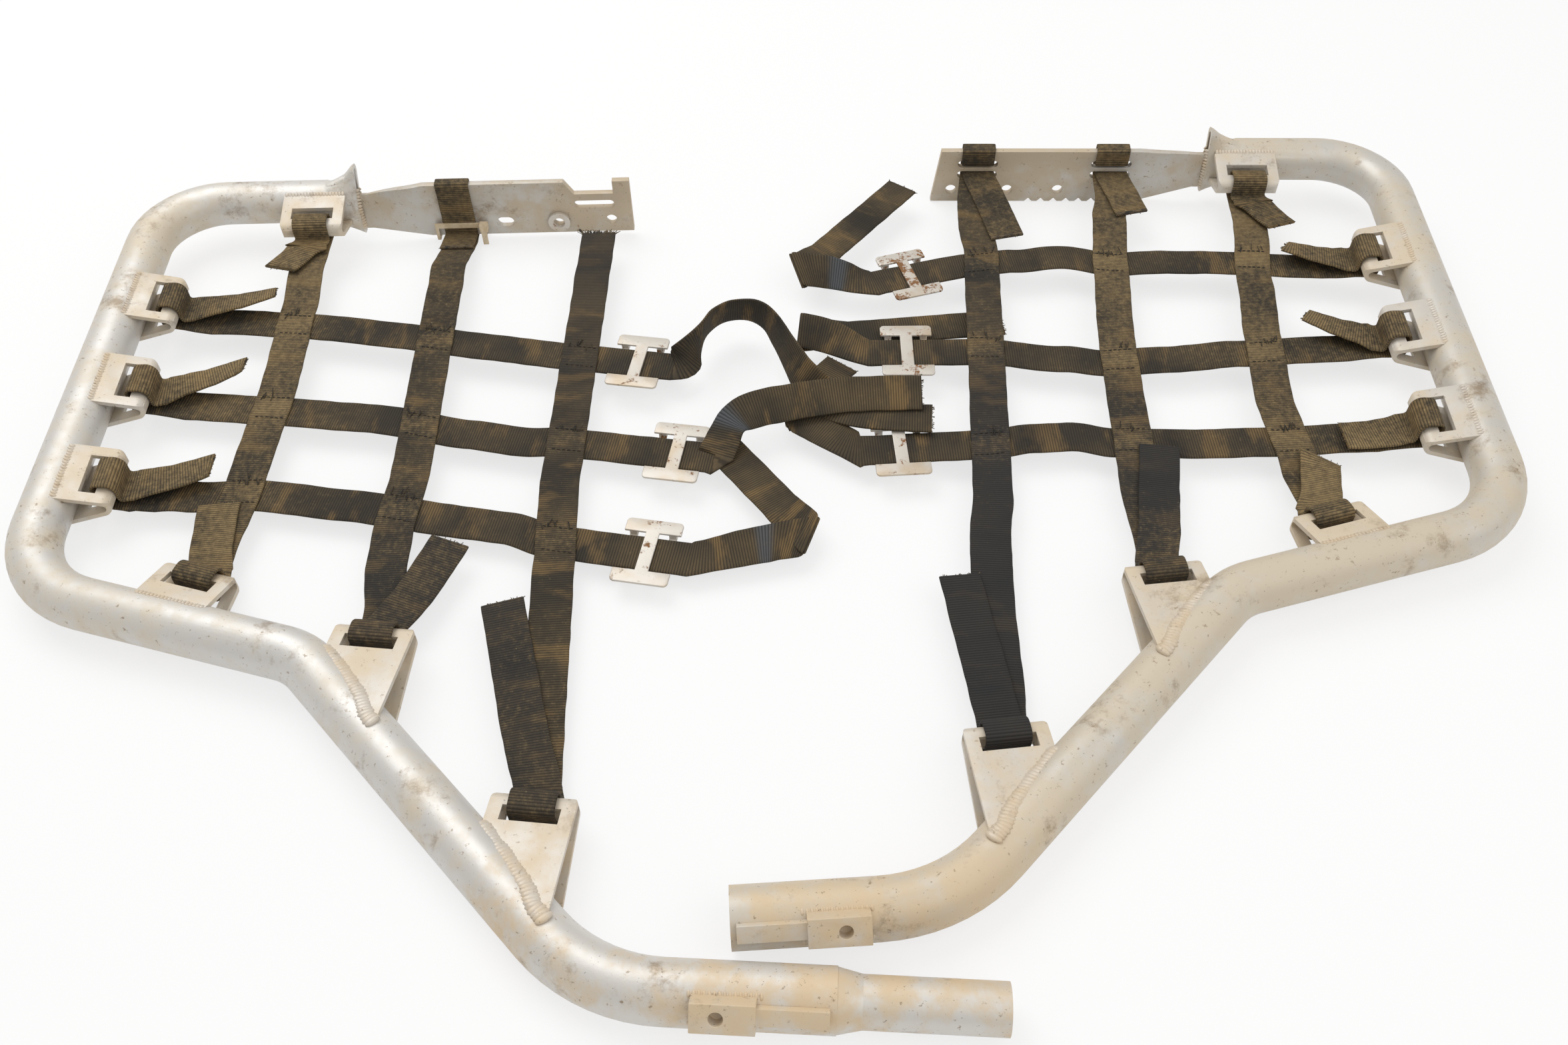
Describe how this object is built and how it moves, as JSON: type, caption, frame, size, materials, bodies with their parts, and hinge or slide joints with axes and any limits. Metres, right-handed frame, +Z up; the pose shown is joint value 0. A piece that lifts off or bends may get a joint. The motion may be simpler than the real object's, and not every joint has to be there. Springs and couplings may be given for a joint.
{
  "type": "quad bike foot guard bar pair",
  "caption": "Pair of bent-tube quad-bike foot-well guards with folded strap lugs, mount plates and webbing nets drawn tight by steel slide buckles.",
  "frame": {"origin": "centre of the pair's footprint, on the floor it lies on", "axes": "+X across the pair from the left bar to the right bar, +Y toward the mount plates, +Z up from the floor"},
  "size_m": [0.9653, 0.6962, 0.0587],
  "materials": {
    "tube": "dusty satin",
    "lug": "dusty satin",
    "plate": "bare, mottled",
    "webbing": "ribbed, muddy",
    "buckle": "worn, rusty at the edges",
    "nut": "worn",
    "tie": "tan, aged"
  },
  "bodies": {
    "left_bar": {"left_tube": "tube", "left_plate": "plate", "left_frame_tab": "tube", "left_lug_top": "lug", "left_lug_outer_1": "lug", "left_lug_outer_2": "lug", "left_lug_outer_3": "lug", "left_lug_lower_1": "lug", "left_lug_lower_2": "lug", "left_lug_lower_3": "lug", "left_long_strap_1": "webbing", "left_cross_strap_1": "webbing", "left_long_strap_2": "webbing", "left_cross_strap_2": "webbing", "left_long_strap_3": "webbing", "left_cross_strap_3": "webbing", "left_spigot": "tube", "left_weld_nut": "nut", "left_cable_tie": "tie"},
    "right_bar": {"right_tube": "tube", "right_plate": "plate", "right_frame_tab": "tube", "right_lug_top": "lug", "right_lug_outer_1": "lug", "right_lug_outer_2": "lug", "right_lug_outer_3": "lug", "right_lug_lower_1": "lug", "right_lug_lower_2": "lug", "right_lug_lower_3": "lug", "right_long_strap_1": "webbing", "right_cross_strap_1": "webbing", "right_long_strap_2": "webbing", "right_cross_strap_2": "webbing", "right_long_strap_3": "webbing", "right_cross_strap_3": "webbing", "right_end_socket": "tube"},
    "left_buckle_1": {"left_buckle_1": "buckle"},
    "left_buckle_2": {"left_buckle_2": "buckle"},
    "left_buckle_3": {"left_buckle_3": "buckle"},
    "right_buckle_1": {"right_buckle_1": "buckle"},
    "right_buckle_2": {"right_buckle_2": "buckle"},
    "right_buckle_3": {"right_buckle_3": "buckle"}
  },
  "joints": [
    {"name": "right_bar_draw", "type": "slide", "parent": "left_bar", "child": "right_bar", "axis": [1, 0, 0], "range_m": [0, 0.15]},
    {"name": "left_buckle_1_slide", "type": "slide", "parent": "left_bar", "child": "left_buckle_1", "axis": [0.9857, -0.1682, -0.0048], "range_m": [-0.006, 0.005]},
    {"name": "left_buckle_2_slide", "type": "slide", "parent": "left_bar", "child": "left_buckle_2", "axis": [0.9859, -0.1672, -0.0048], "range_m": [-0.036, 0.002]},
    {"name": "left_buckle_3_slide", "type": "slide", "parent": "left_bar", "child": "left_buckle_3", "axis": [0.9821, -0.1885, -0.0054], "range_m": [-0.019, 0.005]},
    {"name": "right_buckle_1_slide", "type": "slide", "parent": "right_bar", "child": "right_buckle_1", "axis": [-0.9622, -0.2722, -0.0078], "range_m": [-0.015, 0.005]},
    {"name": "right_buckle_2_slide", "type": "slide", "parent": "right_bar", "child": "right_buckle_2", "axis": [-0.9999, 0.0146, 0.0004], "range_m": [-0.019, 0.005]},
    {"name": "right_buckle_3_slide", "type": "slide", "parent": "right_bar", "child": "right_buckle_3", "axis": [-0.999, -0.0441, -0.0013], "range_m": [-0.023, 0.005]}
  ]
}
